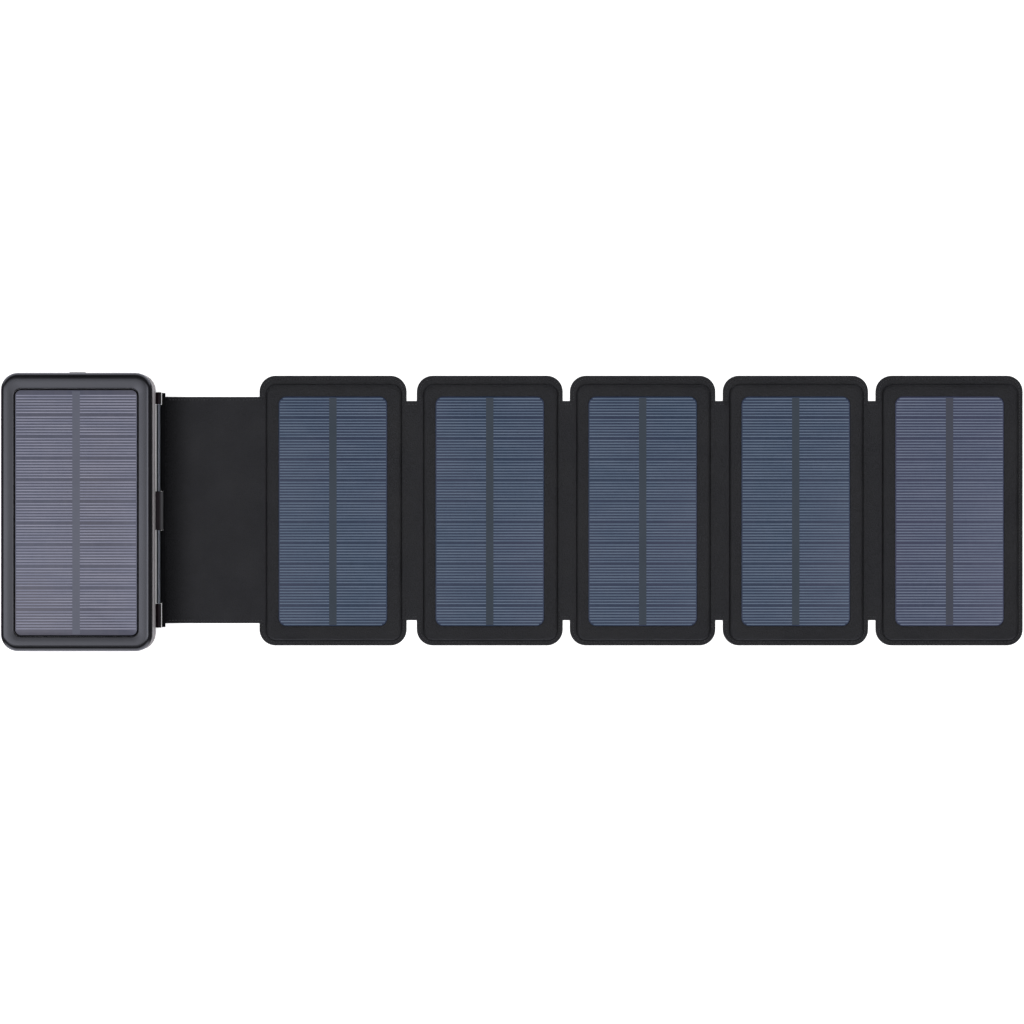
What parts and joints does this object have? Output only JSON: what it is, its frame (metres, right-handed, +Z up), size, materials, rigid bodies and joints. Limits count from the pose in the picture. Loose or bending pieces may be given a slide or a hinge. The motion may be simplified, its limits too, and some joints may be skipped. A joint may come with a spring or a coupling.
{
  "type": "folding solar power bank",
  "caption": "Pocket power bank with a solar cell in its front and a hinged leather cover that unfolds into a row of stitched solar panels.",
  "frame": {"origin": "on the surface it lies on, below the middle of the opened object", "axes": "+X from the power bank along the opened panels, +Y towards the bank's socket end, +Z up out of the cells"},
  "size_m": [0.5728, 0.1558, 0.025],
  "materials": {
    "bank_plastic": "semi-gloss black moulded plastic",
    "button_plastic": "satin black",
    "switch_metal": "black tactile switch",
    "bank_cell": "grey-blue silicon cells with fine printed lines",
    "bank_clear_cover": "clear cover over the cell",
    "pouch_foil": "satin foil",
    "circuit_board": "green solder mask",
    "socket_steel": "formed sheet steel",
    "black_steel": "black coated steel",
    "hinge_steel": "bright drawn steel",
    "fold_leather": "black grained synthetic leather",
    "panel_leather": "black grained synthetic leather",
    "fibre_board": "pressed fibre board",
    "panel_cell": "dark blue silicon cells with fine printed lines",
    "panel_clear_film": "clear laminated film",
    "lead": "flat insulated lead"
  },
  "bodies": {
    "bank": {"bank_front_bezel": "bank_plastic", "bank_rear_shell": "bank_plastic", "bank_solar_board": "bank_cell", "bank_solar_cover": "bank_clear_cover", "battery_pouch_1": "pouch_foil", "battery_pouch_2": "pouch_foil", "button_switch": "switch_metal", "circuit_board": "circuit_board", "hinge_bracket": "black_steel", "hinge_pin": "hinge_steel", "hinge_screw_1": "hinge_steel", "hinge_screw_2": "hinge_steel", "usb_a_socket_1": "socket_steel", "usb_a_socket_2": "socket_steel", "usb_c_socket": "socket_steel"},
    "button": {"power_button": "button_plastic"},
    "flap_a": {"hinge_knuckle_upper": "hinge_steel", "hinge_knuckle_lower": "hinge_steel", "flap_edge_bar": "black_steel", "flap_leather_a": "fold_leather"},
    "flap_b": {"flap_leather_b": "fold_leather"},
    "flap_c": {"flap_leather_c": "fold_leather"},
    "strip_12": {"fold_strip_12": "fold_leather"},
    "strip_34": {"fold_strip_34": "fold_leather"},
    "panel_1": {"panel_1_back_cover": "panel_leather", "panel_1_clear_film": "panel_clear_film", "panel_1_front_cover": "panel_leather", "panel_1_lead": "lead", "panel_1_solar_board": "panel_cell", "panel_1_stiffener": "fibre_board"},
    "panel_2": {"panel_2_back_cover": "panel_leather", "panel_2_clear_film": "panel_clear_film", "panel_2_front_cover": "panel_leather", "panel_2_lead": "lead", "panel_2_solar_board": "panel_cell", "panel_2_stiffener": "fibre_board"},
    "panel_3": {"panel_3_back_cover": "panel_leather", "panel_3_clear_film": "panel_clear_film", "panel_3_front_cover": "panel_leather", "panel_3_lead": "lead", "panel_3_solar_board": "panel_cell", "panel_3_stiffener": "fibre_board"},
    "panel_4": {"panel_4_back_cover": "panel_leather", "panel_4_clear_film": "panel_clear_film", "panel_4_front_cover": "panel_leather", "panel_4_lead": "lead", "panel_4_solar_board": "panel_cell", "panel_4_stiffener": "fibre_board"},
    "panel_5": {"panel_5_back_cover": "panel_leather", "panel_5_clear_film": "panel_clear_film", "panel_5_front_cover": "panel_leather", "panel_5_lead": "lead", "panel_5_solar_board": "panel_cell", "panel_5_stiffener": "fibre_board"}
  },
  "joints": [
    {"name": "button_press", "type": "slide", "parent": "bank", "child": "button", "axis": [0, -1, 0], "range_m": [0, 0.0004], "stiffness_N_per_m": 800},
    {"name": "cover_hinge", "type": "hinge", "parent": "bank", "child": "flap_a", "pos_m": [-0.2003, 0, 0.0031], "axis": [0, -1, 0], "range_deg": [0, 37]},
    {"name": "flap_bend_1", "type": "hinge", "parent": "flap_a", "child": "flap_b", "pos_m": [-0.18143, 0, 0.0012], "axis": [0, -1, 0], "range_deg": [0, 53]},
    {"name": "flap_bend_2", "type": "hinge", "parent": "flap_b", "child": "flap_c", "pos_m": [-0.16257, 0, 0.0012], "axis": [0, -1, 0], "range_deg": [0, 53]},
    {"name": "cover_fold", "type": "hinge", "parent": "flap_c", "child": "panel_1", "pos_m": [-0.1437, 0, 0.0012], "axis": [0, -1, 0], "range_deg": [0, 37]},
    {"name": "inner_fold", "type": "hinge", "parent": "panel_1", "child": "strip_12", "pos_m": [-0.0608, 0, 0.0012], "axis": [0, -1, 0], "range_deg": [0, 90]},
    {"name": "inner_fold_far", "type": "hinge", "parent": "strip_12", "child": "panel_2", "pos_m": [-0.05505, 0, 0.0012], "axis": [0, -1, 0], "range_deg": [0, 90]},
    {"name": "middle_fold", "type": "hinge", "parent": "panel_2", "child": "panel_3", "pos_m": [0.0292, 0, -0.00015], "axis": [0, 1, 0], "range_deg": [0, 180]},
    {"name": "outer_fold", "type": "hinge", "parent": "panel_3", "child": "strip_34", "pos_m": [0.1132, 0, 0.0012], "axis": [0, -1, 0], "range_deg": [0, 90]},
    {"name": "outer_fold_far", "type": "hinge", "parent": "strip_34", "child": "panel_4", "pos_m": [0.1174, 0, 0.0012], "axis": [0, -1, 0], "range_deg": [0, 90]},
    {"name": "end_fold", "type": "hinge", "parent": "panel_4", "child": "panel_5", "pos_m": [0.2014, 0, -0.00015], "axis": [0, 1, 0], "range_deg": [0, 180]}
  ],
  "couplings": [
    {"joint": "flap_bend_1", "follows": "cover_hinge", "ratio": 1.4324},
    {"joint": "flap_bend_2", "follows": "cover_hinge", "ratio": 1.4324},
    {"joint": "cover_fold", "follows": "cover_hinge", "ratio": 1},
    {"joint": "inner_fold", "follows": "middle_fold", "ratio": 0.5},
    {"joint": "inner_fold_far", "follows": "middle_fold", "ratio": 0.5},
    {"joint": "outer_fold", "follows": "end_fold", "ratio": 0.5},
    {"joint": "outer_fold_far", "follows": "end_fold", "ratio": 0.5}
  ]
}
